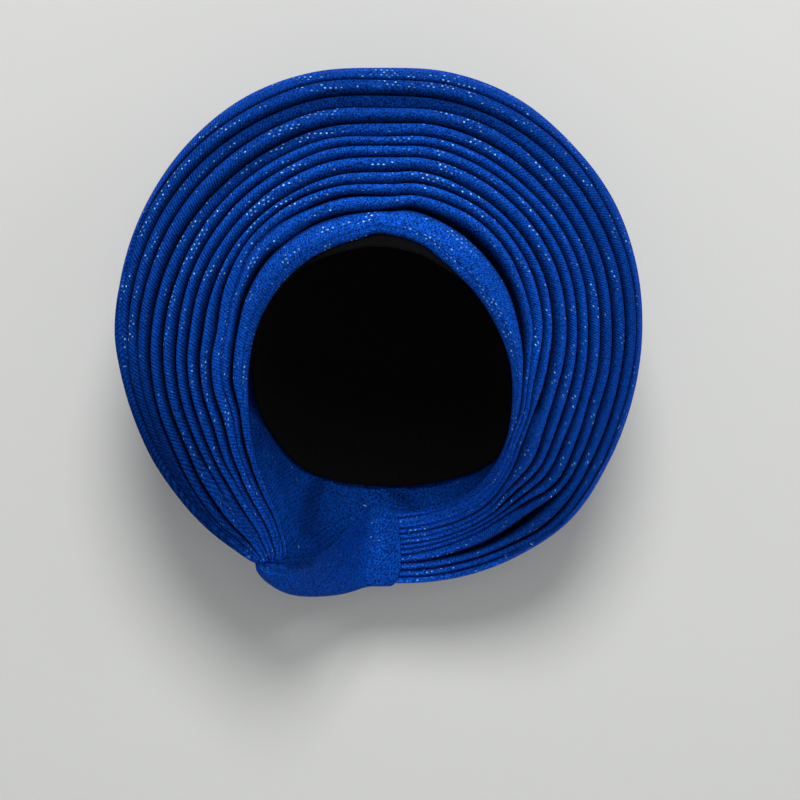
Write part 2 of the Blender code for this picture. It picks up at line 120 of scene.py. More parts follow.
def clothGrid(name, lines, uvs, paintedShades, facing, wall):
    # a grid of cloth laid on lines of points, with its own thread map in mm and the painted shade of each
    # point
    stations, columns = len(lines), len(lines[0])
    shape = bmesh.new()
    threads = shape.loops.layers.uv.new("threads")
    paintedShade = shape.verts.layers.float.new("paintedShade")
    bmesh.ops.create_grid(shape, x_segments=columns - 1, y_segments=stations - 1, size=0.5)
    spot = {}
    for vert in shape.verts:
        spot[vert] = (round((vert.co.y + 0.5) * (stations - 1)), round((vert.co.x + 0.5) * (columns - 1)))
    for face in shape.faces:
        for loop in face.loops:
            loop[threads].uv = uvs[spot[loop.vert][0]][spot[loop.vert][1]]
    for vert, (station, column) in spot.items():
        vert.co = lines[station][column]
        vert[paintedShade] = paintedShades[station][column]
    bmesh.ops.remove_doubles(shape, verts=shape.verts, dist=1e-6)
    bmesh.ops.dissolve_degenerate(shape, edges=shape.edges, dist=1e-7)
    bmesh.ops.recalc_face_normals(shape, faces=shape.faces)
    if facing is None:  # a closed or domed form faces away from its middle
        middle = sum((vert.co for vert in shape.verts), Vector()) / len(shape.verts)
        outward = sum(
            face.normal.dot(face.calc_center_median() - middle) * face.calc_area() for face in shape.faces)
    else:
        outward = sum(face.normal.dot(facing) * face.calc_area() for face in shape.faces)
    if outward < 0.0:
        bmesh.ops.reverse_faces(shape, faces=shape.faces)
    area = sum(face.calc_area() for face in shape.faces)
    mesh = bpy.data.meshes.new(name)
    shape.to_mesh(mesh)
    shape.free()
    mesh.shade_smooth()
    piece = bpy.data.objects.new(name, mesh)
    bpy.context.scene.collection.objects.link(piece)
    thickness = piece.modifiers.new("wall", "SOLIDIFY")
    thickness.thickness = wall
    thickness.offset = -1.0
    print(name, "cloth area", round(area, 4), "m2,", 4 * (stations - 1) * (columns - 1), "triangles")
    return piece


def dress(piece, node, material):
    piece.data.materials.append(material)
    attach(piece, "root")
    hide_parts(node)


# materials

def linear(hexColour):
    values = [int(hexColour[at:at + 2], 16) / 255.0 for at in (1, 3, 5)]
    return [v / 12.92 if v <= 0.04045 else ((v + 0.055) / 1.055) ** 2.4 for v in values] + [1.0]


def addNode(material, kind, settings=None, **links):
    # one node: its settings by name, and each input by name or place (in0, in1) as a socket or a value
    node = material.node_tree.nodes.new("ShaderNode" + kind)
    for key, value in (settings or {}).items():
        setattr(node, key, value)
    for key, value in links.items():
        numbered = key[:2] == "in" and key[2:].isdigit()
        socket = node.inputs[int(key[2:]) if numbered else key]
        if isinstance(value, bpy.types.NodeSocket):
            material.node_tree.links.new(value, socket)
        else:
            socket.default_value = value
    return node


def newMaterial(name, roughness, metallic, sheen):
    material = bpy.data.materials.new(name)
    material.use_nodes = True
    shader = material.node_tree.nodes["Principled BSDF"]
    shader.inputs["Roughness"].default_value = roughness
    shader.inputs["Metallic"].default_value = metallic
    shader.inputs["Sheen Weight"].default_value = sheen
    return material, shader


def threadMap(material):  # the piece's own thread map in mm: along the row, and across it
    uv = addNode(material, "UVMap", {"uv_map": "threads"})
    split = addNode(material, "SeparateXYZ", in0=uv.outputs[0])
    return split.outputs[0], split.outputs[1]


# settings that many of the nodes share
times = {"operation": "MULTIPLY"}
timesPlus = {"operation": "MULTIPLY_ADD"}
floor = {"operation": "FLOOR"}
sine = {"operation": "SINE"}
clamped = {"clamp": True}
inColour = {"data_type": "RGBA"}

brocade = {
    "ribPitch": 1.75,  # mm between the raised threads that run across each row
    "slant": -0.62,  # how far they lean along the row
    "wander": 1.15,  # mm that the loose weave pushes them about
    "wanderScale": 900.0, "speckScale": 1000.0,  # patches of that and specks of thread in a metre
    "specks": (0.30, 0.68),  # noise at the darkest and at the lightest speck
    "sides": (0.04, 0.11),  # metres from the middle where the ribs start and end standing out
    "speckShare": (0.86, 0.52),  # how much the specks count against the ribs there
    "glintPitch": (2.9, 2.1),  # mm between the painted highlight points along and across
    "glintSize": (0.23, 0.11),  # the edge and the full part of a point, in its pitch
    "runs": (0.030, 0.16, 0.0),  # lit runs in a mm along and across
    "runRange": (0.45, 0.60),  # noise where a run starts and where it is full
    "upward": (-0.15, 0.0, 1.0), "upperRows": (-0.06, 0.01),  # more painted highlights are lit up there, towards the light
    "upperShare": (0.80, 1.26), "fullyLit": 0.90,
    "glintShadeSpan": (0.62, 0.48),  # painted shade value where the painted highlights are gone and where they are all there
    "darkest": 0.90,  # painted shade value that is fully dark
    "dull": (0.62, 0.34), "shadeDull": 0.45,  # roughness of ground and crest, and what the painted shade adds
    "relief": (0.75, 0.0006),  # strength, and height in metres
    # the near-black colour is painted shade, and the glint colour is painted highlight
    "crest": "#176CFA", "ground": "#03184E", "paintedDark": "#00020A", "glint": "#A6E6FF", "edge": "#2A6AD4",
}


def wovenBrocade(name, shade, glintShare):
    # lurex brocade: blue satin thread wound with metal foil, which shows a soft metallic shine and a woven
    # speckle of light and dark thread; small bright points are painted highlights where foil would face the
    # light, and painted shade darkens the grooves
    material, shader = newMaterial(name, 0.46, 0.50, 0.0)
    shader.inputs["Specular IOR Level"].default_value = 0.12
    shader.inputs["Specular Tint"].default_value = linear(brocade["edge"])
    links = material.node_tree.links
    place = addNode(material, "TexCoord").outputs["Object"]
    along, across = threadMap(material)
    wander = addNode(material, "TexNoise", Vector=place, Scale=brocade["wanderScale"], Detail=2.0).outputs[0]
    phase = addNode(material, "Math", timesPlus, in0=across, in1=brocade["slant"], in2=along).outputs[0]
    phase = addNode(material, "Math", timesPlus, in0=wander, in1=brocade["wander"], in2=phase).outputs[0]
    phase = addNode(material, "Math", times, in0=phase, in1=2.0 * math.pi / brocade["ribPitch"]).outputs[0]
    wave = addNode(material, "Math", sine, in0=phase).outputs[0]
    rib = addNode(material, "MapRange", in0=wave, in1=-1.0, in2=1.0).outputs[0]
    speck = addNode(material, "TexNoise", Vector=place, Scale=brocade["speckScale"], Detail=2.0).outputs[0]
    dark, light = brocade["specks"]
    speck = addNode(material, "MapRange", clamped, in0=speck, in1=dark, in2=light).outputs[0]
    # the threads stand out at the two sides and lie flat at the top
    sideways = addNode(material, "SeparateXYZ", in0=place).outputs[0]
    sideways = addNode(material, "Math", {"operation": "ABSOLUTE"}, in0=sideways).outputs[0]
    (near, far), (most, least) = brocade["sides"], brocade["speckShare"]
    flat = addNode(
        material, "MapRange", clamped, in0=sideways, in1=near, in2=far, in3=most, in4=least).outputs[0]
    weave = addNode(material, "Mix", {"data_type": "FLOAT"}, in0=flat, in2=rib, in3=speck).outputs[0]
    # painted highlights: bright points set in staggered lines, and only some runs of a line are lit
    pitchAlong, pitchAcross = brocade["glintPitch"]
    cellAlong = addNode(material, "Math", {"operation": "DIVIDE"}, in0=along, in1=pitchAlong).outputs[0]
    cellAcross = addNode(material, "Math", {"operation": "DIVIDE"}, in0=across, in1=pitchAcross).outputs[0]
    lane = addNode(material, "Math", floor, in0=cellAcross).outputs[0]
    cellAlong = addNode(material, "Math", timesPlus, in0=lane, in1=0.5, in2=cellAlong).outputs[0]
    seat = addNode(material, "Math", floor, in0=cellAlong).outputs[0]
    seat = addNode(material, "CombineXYZ", in0=seat, in1=lane).outputs[0]
    chance = addNode(material, "TexWhiteNoise", {"noise_dimensions": "3D"}, Vector=seat).outputs[0]
    spot = addNode(material, "CombineXYZ", in0=cellAlong, in1=cellAcross).outputs[0]
    spot = addNode(material, "VectorMath", {"operation": "FRACTION"}, in0=spot).outputs[0]
    middle = (0.5, 0.5, 0.0)
    spot = addNode(material, "VectorMath", {"operation": "DISTANCE"}, in0=spot, in1=middle).outputs["Value"]
    edge, full = brocade["glintSize"]
    point = addNode(material, "MapRange", clamped, in0=spot, in1=edge, in2=full).outputs[0]
    run = addNode(material, "CombineXYZ", in0=along, in1=across).outputs[0]
    run = addNode(material, "VectorMath", times, in0=run, in1=brocade["runs"]).outputs[0]
    run = addNode(material, "TexNoise", Vector=run, Scale=1.0, Detail=2.0).outputs[0]
    low, high = brocade["runRange"]
    run = addNode(material, "MapRange", clamped, in0=run, in1=low, in2=high).outputs[0]
    lit = addNode(material, "Math", times, in0=chance, in1=run).outputs[0]
    upward = {"operation": "DOT_PRODUCT"}
    upper = addNode(material, "VectorMath", upward, in0=place, in1=brocade["upward"]).outputs["Value"]
    (low, high), (few, many) = brocade["upperRows"], brocade["upperShare"]
    upper = addNode(material, "MapRange", clamped, in0=upper, in1=low, in2=high, in3=few, in4=many).outputs[0]
    lit = addNode(material, "Math", times, in0=lit, in1=upper).outputs[0]
    lit = addNode(material, "MapRange", clamped, in0=lit, in1=1.0 - glintShare, in2=brocade["fullyLit"]).outputs[0]
    # how much painted shade each point of the piece has
    paintedShade = addNode(material, "Attribute", {"attribute_name": "paintedShade"}).outputs["Fac"]
    gone, there = brocade["glintShadeSpan"]
    unshaded = addNode(material, "MapRange", clamped, in0=paintedShade, in1=gone, in2=there).outputs[0]
    glint = addNode(material, "Math", times, in0=point, in1=lit).outputs[0]
    glint = addNode(material, "Math", times, in0=glint, in1=unshaded).outputs[0]
    # painted shade: the colour goes towards near black as that value rises
    paintedDark = addNode(material, "MapRange", clamped, in0=paintedShade, in2=brocade["darkest"], in4=shade).outputs[0]
    ground, crest = linear(brocade["ground"]), linear(brocade["crest"])
    colour = addNode(material, "Mix", inColour, in0=weave, in6=ground, in7=crest).outputs[2]
    for share, tint in ((paintedDark, linear(brocade["paintedDark"])), (glint, linear(brocade["glint"]))):
        colour = addNode(material, "Mix", inColour, in0=share, in6=colour, in7=tint).outputs[2]
    links.new(colour, shader.inputs["Base Color"])
    ground, crest = brocade["dull"]
    dull = addNode(material, "MapRange", in0=weave, in3=ground, in4=crest).outputs[0]
    added = {"operation": "MULTIPLY_ADD", "use_clamp": True}
    dull = addNode(material, "Math", added, in0=paintedDark, in1=brocade["shadeDull"], in2=dull).outputs[0]
    links.new(dull, shader.inputs["Roughness"])
    strength, height = brocade["relief"]
    relief = addNode(material, "Bump", Strength=strength, Distance=height, Height=weave).outputs[0]
    links.new(relief, shader.inputs["Normal"])
    return material


knit = {
    "rib": 1.6, "course": 1.1,  # mm from rib to rib and from course to course
    "courseShare": 0.5, "relief": (0.6, 0.0004),  # strength, and height in metres
    "thread": "#070708", "gap": "#020203",
}


def stretchKnit(name):
    # nylon stretch knit: matt black yarn in fine upright ribs, which soaks up nearly all the light
    material, shader = newMaterial(name, 0.95, 0.0, 0.0)
    shader.inputs["Specular IOR Level"].default_value = 0.10
    links = material.node_tree.links
    around, down = threadMap(material)
    rib = addNode(material, "Math", times, in0=around, in1=2.0 * math.pi / knit["rib"]).outputs[0]
    rib = addNode(material, "Math", sine, in0=rib).outputs[0]
    course = addNode(material, "Math", times, in0=down, in1=2.0 * math.pi / knit["course"]).outputs[0]
    course = addNode(material, "Math", sine, in0=course).outputs[0]
    stitch = addNode(material, "Math", timesPlus, in0=course, in1=knit["courseShare"], in2=rib).outputs[0]
    highest = 1.0 + knit["courseShare"]
    stitch = addNode(material, "MapRange", clamped, in0=stitch, in1=-highest, in2=highest).outputs[0]
    gap, thread = linear(knit["gap"]), linear(knit["thread"])
    colour = addNode(material, "Mix", inColour, in0=stitch, in6=gap, in7=thread).outputs[2]
    links.new(colour, shader.inputs["Base Color"])
    strength, height = knit["relief"]
    relief = addNode(material, "Bump", Strength=strength, Distance=height, Height=stitch).outputs[0]
    links.new(relief, shader.inputs["Normal"])
    return material


# name, how dark the painted shade gets, share of painted highlight points
blueRows = wovenBrocade("lurexBrocade", 0.97, 0.66)
bluePlain = wovenBrocade("lurexBrocadePlain", 0.80, 0.34)
blackKnit = stretchKnit("nylonKnit")
print("materials made")

# the pleated fan

fan = {
    "rowCount": 12, "stations": 226, "gatherStations": 34, "fromTurn": 225.0, "toTurn": -92.0,
    "foldDepth": 0.0062, "crestHeight": 0.34, "uneven": 0.22, "wobble": 0.0003, "bow": 0.03, "edgeLift": 2.5,
    # the last four: painted shade at the pinch and how far it reaches, on the inner edge and on its rolled
    # part
    "viewDistance": 1.095, "pinchShade": 0.8, "pinchOver": 8.0, "edgeShade": 0.35, "rollShade": 0.6,
    # the rim and the inner edge: turn, radius in rimRadius, depth in hollowForm halfLength
    "rim": (
        (-92, 0.985, 0.680), (-75, 1.008, 0.600), (-60, 1.027, 0.470), (-45, 1.043, 0.330),
        (-30, 1.020, 0.225), (-15, 1.008, 0.160), (0, 1.008, 0.115), (15, 1.016, 0.080),
        (30, 1.024, 0.040), (45, 1.022, 0.000), (60, 1.028, -0.030), (75, 1.018, -0.050),
        (90, 1.000, -0.060), (105, 1.018, -0.050), (120, 1.031, -0.030), (135, 1.030, 0.000),
        (150, 1.026, 0.040), (165, 1.023, 0.070), (180, 1.018, 0.100), (195, 1.007, 0.120),
        (210, 1.003, 0.135), (225, 1.012, 0.145), (240, 1.006, 0.135), (243, 1.000, 0.120),
        (250, 1.000, 0.300), (254, 0.998, 0.440), (258, 0.995, 0.560), (263, 0.990, 0.650),
        (268, 0.985, 0.680),
    ),
    "edge": (
        (-92, 0.715, 0.800), (-75, 0.717, 0.680), (-60, 0.709, 0.430), (-45, 0.652, 0.090),
        (-30, 0.569, -0.220), (-15, 0.503, -0.380), (0, 0.437, -0.485), (15, 0.388, -0.555),
        (30, 0.350, -0.620), (45, 0.330, -0.660), (60, 0.330, -0.670), (75, 0.328, -0.680),
        (90, 0.345, -0.680), (105, 0.333, -0.675), (120, 0.342, -0.640), (135, 0.363, -0.585),
        (150, 0.390, -0.510), (165, 0.425, -0.410), (180, 0.468, -0.300), (195, 0.515, -0.220),
        (210, 0.575, -0.160), (225, 0.668, -0.090), (234, 0.735, -0.040), (239.8, 0.820, 0.010),
        (243.7, 0.875, 0.060), (245.4, 0.915, 0.080), (245.7, 0.950, 0.100),
    ),
    # from the pinch: place, the inner edge as turn, radius and depth, turn at the rim, how far the rows open
    "gather": ((0, 244.9, 0.982, 0.100, 241.8, 0.0), (1, 246.0, 0.962, 0.085, 241.2, 0.12),
               (2, 246.9, 0.925, 0.065, 239.8, 0.36), (3, 245.2, 0.872, 0.040, 237.8, 0.66),
               (4, 239.4, 0.784, -0.010, 234.4, 0.90), (5, 225.0, 0.668, -0.090, 225.0, 1.0)),
    # how far the inner edge is rolled under: turn, share
    "edgeCurl": ((-92, 0.0), (-43, 0.0), (-31, 0.35), (-19, 0.80), (-7, 1.0), (188, 1.0),
                 (200, 0.80), (212, 0.35), (225, 0.0), (246, 0.0)),
    # seen from the front, in halves of a mm: turn, inner edge, the eleven folds from there out, rim
    "folds": (
        (-92, 185, 192, 198, 204, 210, 216, 222, 228, 235, 242, 249, 256, 262),
        (-60, 185, 190, 195, 200, 205, 210, 215, 219, 223, 236, 248, 256, 262),
        (-50, 176, 181, 186, 190, 194, 201, 208, 215, 222, 234, 252, 260, 266),
        (-40, 168, 171, 175, 179, 183, 199, 208, 217, 230, 237, 249, 258, 266),
        (-30, 153, 160, 164, 168, 172, 187, 198, 208, 220, 230, 242, 253, 261),
        (-20, 142, 150, 155, 160, 169, 182, 194, 205, 214, 226, 240, 250, 260),
        (-10, 131, 144, 151, 158, 167, 181, 192, 203, 214, 226, 238, 250, 259),
        (0, 118, 138, 149, 157, 166, 180, 190, 201, 213, 225, 239, 251, 260),
        (15, 106, 134, 145, 157, 166, 180, 191, 202, 213, 226, 240, 253, 263),
        (30, 97, 130, 144, 155, 164, 179, 190, 201, 212, 226, 240, 254, 267),
        (45, 93, 127, 142, 153, 161, 176, 187, 197, 210, 225, 239, 256, 267),
        (60, 94, 124, 138, 150, 159, 174, 185, 196, 209, 226, 237, 255, 270),
        (75, 94, 122, 134, 146, 157, 171, 183, 193, 206, 222, 234, 252, 268),
        (90, 100, 120, 133, 144, 155, 170, 181, 190, 203, 220, 233, 250, 265),
        (105, 97, 122, 137, 147, 157, 172, 184, 194, 206, 224, 236, 254, 268),
        (120, 98, 125, 140, 151, 158, 173, 184, 196, 207, 226, 239, 256, 271),
        (135, 104, 130, 147, 155, 162, 175, 188, 199, 210, 229, 243, 259, 270),
        (150, 110, 137, 151, 158, 166, 178, 191, 203, 215, 232, 246, 261, 268),
        (165, 118, 141, 150, 161, 170, 183, 195, 207, 220, 235, 248, 260, 266),
        (180, 128, 145, 154, 163, 176, 188, 200, 214, 226, 240, 251, 262, 264),
        (190, 135, 151, 161, 171, 182, 194, 205, 218, 230, 243, 253, 259, 262),
        (200, 145, 160, 168, 178, 188, 199, 210, 222, 234, 244, 252, 258, 261),
        (210, 157, 166, 173, 183, 193, 204, 214, 225, 237, 246, 252, 258, 260),
        (220, 168, 177, 184, 192, 202, 210, 220, 233, 245, 250, 255, 260, 264),
        (230, 186, 193, 199, 206, 213, 220, 230, 241, 252, 255, 259, 262, 266),
        (243, 222, 226, 230, 235, 240, 244, 248, 253, 257, 260, 262, 264, 267),
    ),
    # how deep each of them is, in foldDepth
    "depths": (
        (-92, 0.3, 0.1, 0.3, 0.5, 0.2, 0.5, 0.2, 0.5, 0.6, 0.4, 0.3),
        (-60, 0.1, 0.1, 0.1, 0.9, 0.2, 0.8, 0.3, 1.0, 1.8, 0.8, 0.6),
        (-40, 0.2, 0.1, 0.2, 1.6, 0.9, 0.8, 0.8, 1.0, 1.2, 0.8, 0.7),
        (-20, 0.7, 0.3, 0.6, 1.2, 0.9, 0.8, 0.8, 1.0, 0.9, 0.8, 0.7),
        (0, 0.9, 0.4, 0.8, 1.0, 0.8, 0.8, 0.8, 1.0, 0.8, 0.8, 0.7),
        (45, 1.0, 0.8, 0.7, 1.0, 0.9, 0.8, 0.8, 1.0, 0.9, 1.0, 0.7),
        (90, 0.6, 0.8, 0.7, 1.0, 0.9, 0.8, 0.8, 1.1, 0.8, 1.2, 0.7),
        (135, 0.55, 0.4, 0.6, 1.0, 0.9, 0.8, 0.8, 1.1, 0.8, 0.9, 0.6),
        (165, 0.9, 0.2, 0.7, 1.0, 0.8, 0.8, 0.8, 1.0, 0.8, 0.7, 0.5),
        (190, 0.8, 0.2, 0.6, 0.9, 0.8, 0.8, 0.8, 0.9, 0.4, 0.3, 0.1),
        (210, 0.8, 0.3, 0.6, 0.8, 0.8, 0.7, 0.8, 0.9, 0.1, 0.1, 0.1),
        (222, 0.8, 0.2, 0.8, 0.5, 0.9, 0.4, 0.9, 0.9, 0.1, 0.1, 0.1),
        (232, 0.9, 0.1, 0.9, 0.1, 0.9, 0.1, 0.9, 0.8, 0.1, 0.1, 0.1),
        (243, 0.9, 0.1, 0.9, 0.1, 0.9, 0.1, 0.9, 0.1, 0.1, 0.9, 0.1),
    ),
    # how much wider than a plain slit each of them gapes
    "gapes": (
        (-92, 0.0, 0.0, 0.0, 0.0, 0.0, 0.0, 0.0, 0.0, 0.0, 0.0, 0.0),
        (-58, 0.0, 0.0, 0.0, 0.8, 0.0, 0.5, 0.2, 0.6, 2.4, 0.5, 0.2),
        (-44, 0.0, 0.0, 0.0, 1.9, 0.6, 0.5, 0.5, 0.6, 1.0, 0.5, 0.3),
        (-20, 0.5, 0.3, 0.4, 1.2, 0.7, 0.7, 0.7, 0.9, 0.8, 0.7, 0.4),
        (45, 0.9, 0.5, 0.5, 1.1, 0.7, 0.7, 0.8, 1.0, 0.8, 0.8, 0.4),
        (75, 0.4, 0.4, 0.5, 0.9, 0.5, 0.5, 0.7, 1.1, 0.5, 1.1, 0.3),
        (90, 0.15, 0.4, 0.4, 0.8, 0.5, 0.5, 0.6, 1.2, 0.5, 1.2, 0.2),
        (135, 0.1, 0.3, 0.5, 0.9, 0.6, 0.6, 0.7, 1.1, 0.6, 0.8, 0.3),
        (190, 0.3, 0.5, 0.7, 1.1, 1.0, 1.0, 1.0, 1.2, 0.7, 0.3, 0.2),
        (225, 0.9, 0.6, 1.1, 0.9, 1.1, 1.0, 1.2, 0.8, 0.6, 0.5, 0.3),
        (243, 0.0, 0.0, 0.0, 0.0, 0.0, 0.0, 0.0, 0.0, 0.0, 0.0, 0.0),
    ),
    # painted shade of each row, from the inner one out, and how much more of it down at the two ends
    "shaded": (0.03, 0.0, 0.0, 0.03, 0.07, 0.12, 0.18, 0.24, 0.31, 0.37, 0.38, 0.34),
    "lowShade": 0.36, "topTurn": 70.0, "lowFrom": 94.5, "lowOver": 45.0,
    # the third and the fifth row from the rim sink at the top and get more painted shade there: turn, how far
    # each of them does
    "sunkRows": (9, 7), "sunkDepth": 0.15, "sunkShade": 0.30,
    "sunk": (
        (-92, 0.0, 0.0), (40, 0.0, 0.0), (65, 0.7, 0.0), (90, 1.0, 0.2), (112, 0.8, 0.9), (132, 0.5, 1.0),
        (152, 0.0, 0.4), (170, 0.0, 0.0), (246, 0.0, 0.0),
    ),
    # one row across: place, overhang, height in fold depths, True where that is the next fold's, painted
    # shade
    "row": (
        (0.035, 0.000, -1.00, False, 1.00), (0.025, -0.050, -0.84, False, 1.00),
        (0.020, -0.100, -0.64, False, 1.00), (0.025, -0.120, -0.44, False, 0.96),
        (0.055, -0.110, -0.24, False, 0.88), (0.120, -0.080, -0.03, False, 0.70),
        (0.220, -0.045, 0.16, False, 0.44), (0.350, -0.015, 0.29, True, 0.18),
        (0.500, 0.000, 0.34, True, 0.0), (0.650, 0.000, 0.22, True, 0.16),
        (0.780, 0.000, -0.12, True, 0.62), (0.880, 0.000, -0.66, True, 1.00),
    ),
    # the rolled inner edge and the rolled rim: across and height in cloth walls, rolled and flat
    "edgeRoll": (
        (2.6, -3.4, 0.0, -1.2), (1.2, -3.5, 0.0, -1.0), (0.2, -2.9, 0.0, -0.8), (-0.25, -1.9, 0.0, -0.6),
        (-0.1, -0.9, 0.0, -0.4), (0.5, -0.15, 0.0, -0.2), (1.5, 0.15, 0.2, 0.0),
    ),
    "rimRoll": (
        (-3.6, -0.1, -1.0, 0.0), (-1.9, -0.3, -0.5, 0.0), (-0.7, -1.2, -0.2, -0.2), (-0.1, -2.5, 0.0, -0.4),
        (0.0, -4.0, 0.0, -0.6), (-0.6, -5.4, 0.0, -0.8), (-1.8, -6.2, 0.0, -1.0), (-3.2, -6.5, 0.0, -1.1),
        (-4.6, -6.3, 0.0, -1.2),
    ),
}


def rimPoint(turn):
    radius, depth = readTable(fan["rim"], turn)
    return clockPoint(turn, radius * rows["rimRadius"], depth * hollowForm["halfLength"])


def edgePoint(turn):  # the inner edge, lifted off the cap where the cap lies under it
    radius, depth = readTable(fan["edge"], turn)
    radius *= rows["rimRadius"]
    depth *= hollowForm["halfLength"]
    lift = walls["cap"] + walls["gap"] + fan["edgeLift"] * walls["cloth"]
    above = ease((min(turn, 180.0 - turn) + 15.0) / 30.0)
    return clockPoint(turn, mix(radius, max(radius, reach(turn, depth, lift)), above), depth)


def fanStation(station):  # turn and point of the inner edge, turn at the rim and how far the rows are open
    if station < fan["gatherStations"]:
        turn, radius, depth, rimTurn, opened = readTable(fan["gather"], 5.0 * station / fan["gatherStations"])
        inner = clockPoint(turn, radius * rows["rimRadius"], depth * hollowForm["halfLength"])
        return turn, inner, rimTurn, opened
    turn = mix(fan["fromTurn"], fan["toTurn"], (station - fan["gatherStations"]) / fan["stations"])
    return turn, edgePoint(turn), turn, ease((turn + 92.0) / 52.0)


def fanProfile(width, turn, opened, squeeze):
    # across, height, painted shade and row of every point of one section
    seen = readTable(fan["folds"], turn)
    depths = readTable(fan["depths"], turn)
    gapes = [0.0] + readTable(fan["gapes"], turn)
    sunk = dict(zip(fan["sunkRows"], readTable(fan["sunk"], turn)))
    wall = walls["cloth"]
    rimRow = fan["rowCount"] - 1
    places = [0.0]
    for fold in range(1, fan["rowCount"]):
        share = (seen[fold] - seen[0]) / (seen[-1] - seen[0])
        share = share * squeeze / (1.0 - share * (1.0 - squeeze))
        places.append(share * width + fan["wobble"] * opened * drift(turn * 0.05, fold * 7.3, 0.0))
    places.append(width)
    depths = [0.0] + [
        depth * fan["foldDepth"] * (1.0 + fan["uneven"] * drift(turn * 0.04, at * 5.1, 4.0))
        for at, depth in enumerate(depths)
    ] + [0.0]
    for at in range(1, fan["rowCount"]):
        row = min(places[at] - places[at - 1], places[at + 1] - places[at])
        depths[at] = max(min(depths[at], mix(0.5, 0.95, opened) * row), 0.04 * wall)
    curl = readTable(fan["edgeCurl"], turn)[0]
    rolled = ease(opened)
    line = []
    for point in fan["edgeRoll"]:
        line.append((
            mix(point[2] * 0.2 * places[1], point[0] * wall, curl), mix(point[3], point[1], curl) * wall,
            # painted shade on the rolled inner edge, more where it turns under
            fan["rollShade"] if point[1] < -2.5 else fan["edgeShade"], 0
        ))
    # painted shade, more down at the two ends
    lowShade = fan["lowShade"] * ease((abs(turn - fan["topTurn"]) - fan["lowFrom"]) / fan["lowOver"])
    for at in range(fan["rowCount"]):
        row = places[at + 1] - places[at]
        start = places[at] + (2.0 * wall * curl if at == 0 else 0.0)
        span = places[at + 1] - start - (3.8 * wall * rolled if at == rimRow else 0.0)
        for place, overhang, height, isNext, paintedShade in fan["row"]:
            depth = depths[at + 1] if isNext else depths[at]
            if at == 0:  # the innermost row rises from the rolled edge
                if not isNext:
                    depth, overhang, paintedShade = depths[1], 0.0, 0.0
                    height = fan["crestHeight"] * math.sin(math.pi * min(place, 0.5))
                place = (place - 0.035) / 0.865 * 0.9 + 0.03
            if at == rimRow and isNext:
                paintedShade = 0.0
            place = place ** (1.0 / (1.0 + max(gapes[at], 0.0) * opened))
            # painted shade of the row, more on the sunk rows
            shaded = (fan["shaded"][at] + lowShade) * opened
            lower = 0.0
            if at in sunk:
                lower = sunk[at] * fan["sunkDepth"] * fan["foldDepth"] * math.sin(math.pi * place)
                shaded += fan["sunkShade"] * sunk[at]
            follows = opened * ease((row / wall - 2.2) / 2.0) * ease((depth / wall - 0.6) / 1.4)
            # painted shade: weaker in shallow grooves, and fading out from the inner edge of the innermost
            # row
            shadeShare = min(depth / (0.6 * fan["foldDepth"]), 1.0)
            atEdge = fan["edgeShade"] - place if at == 0 else 0.0
            line.append((
                start + place * span + overhang * follows * row, height * depth - lower,
                max(paintedShade * shadeShare, shaded, atEdge), at
            ))
    for point in fan["rimRoll"]:
        line.append((
            width + mix(point[2], point[0], rolled) * min(wall, 0.3 * (width - places[rimRow])),
            mix(point[3], point[1], rolled) * wall, 0.0, rimRow
        ))
    return line


def makeFan():
    lines, uvs, paintedShades = [], [], []
    before, alongRow = None, [0.0] * fan["rowCount"]
    crest = [len(fan["edgeRoll"]) + len(fan["row"]) * at + 6 for at in range(fan["rowCount"])]
    for station in range(fan["gatherStations"] + fan["stations"] + 1):
        edgeTurn, inner, rimTurn, opened = fanStation(station)
        outer = rimPoint(rimTurn)
        width = (outer - inner).length
        turn = (edgeTurn + rimTurn) / 2.0
        across, front = sectionAxes(inner, outer, turn)
        squeeze = (fan["viewDistance"] + inner.y) / (fan["viewDistance"] + outer.y)
        line, uv, paintedShade, down, last = [], [], [], 0.0, None
        profile = fanProfile(width, turn, opened, squeeze)
        for place, height, shadeShare, row in profile:
            share = min(max(place / width, 0.0), 1.0)
            bow = opened * fan["bow"] * width * 4.0 * share * (1.0 - share)
            line.append(inner + across * place + front * (height + bow))
            # painted shade, darkest at the pinch
            paintedShade.append(max(shadeShare, fan["pinchShade"] * ease(1.0 - station / fan["pinchOver"])))
        if before:
            alongRow = [so + (line[at] - before[at]).length for so, at in zip(alongRow, crest)]
        for at, (point, part) in enumerate(zip(line, profile)):
            down += (point - last).length if last else 0.0
            last = point
            uv.append((mm * alongRow[part[3]], mm * down))
        before = line
        lines.append(line)
        uvs.append(uv)
        paintedShades.append(paintedShade)
    piece = clothGrid("pleatedFan", lines, uvs, paintedShades, Vector((0.0, -1.0, 0.0)), walls["cloth"])
    dress(piece, "pleated_fan", blueRows)


makeFan()

# the cover over the back of the cap, its folds running together low down

cover = {
    "sections": 240, "flareSteps": 18, "domeSteps": 34, "folds": 12, "centre": 0.42, "twist": 0.9,
    # shade is the painted shade laid over the whole cover
    "foldHeight": 0.0030, "fineHeight": 0.0006, "shade": 0.50,
    "offRim": 0.0007, "offCap": 0.0014, "touch": 0.50, "slope": 0.124, "sag": 0.06,
    "rollDepth": 6.5, "rollWidth": 4.6, "tuckRadius": 0.955, "tuckDepth": 9.0,  # in cloth walls, rim radii
}


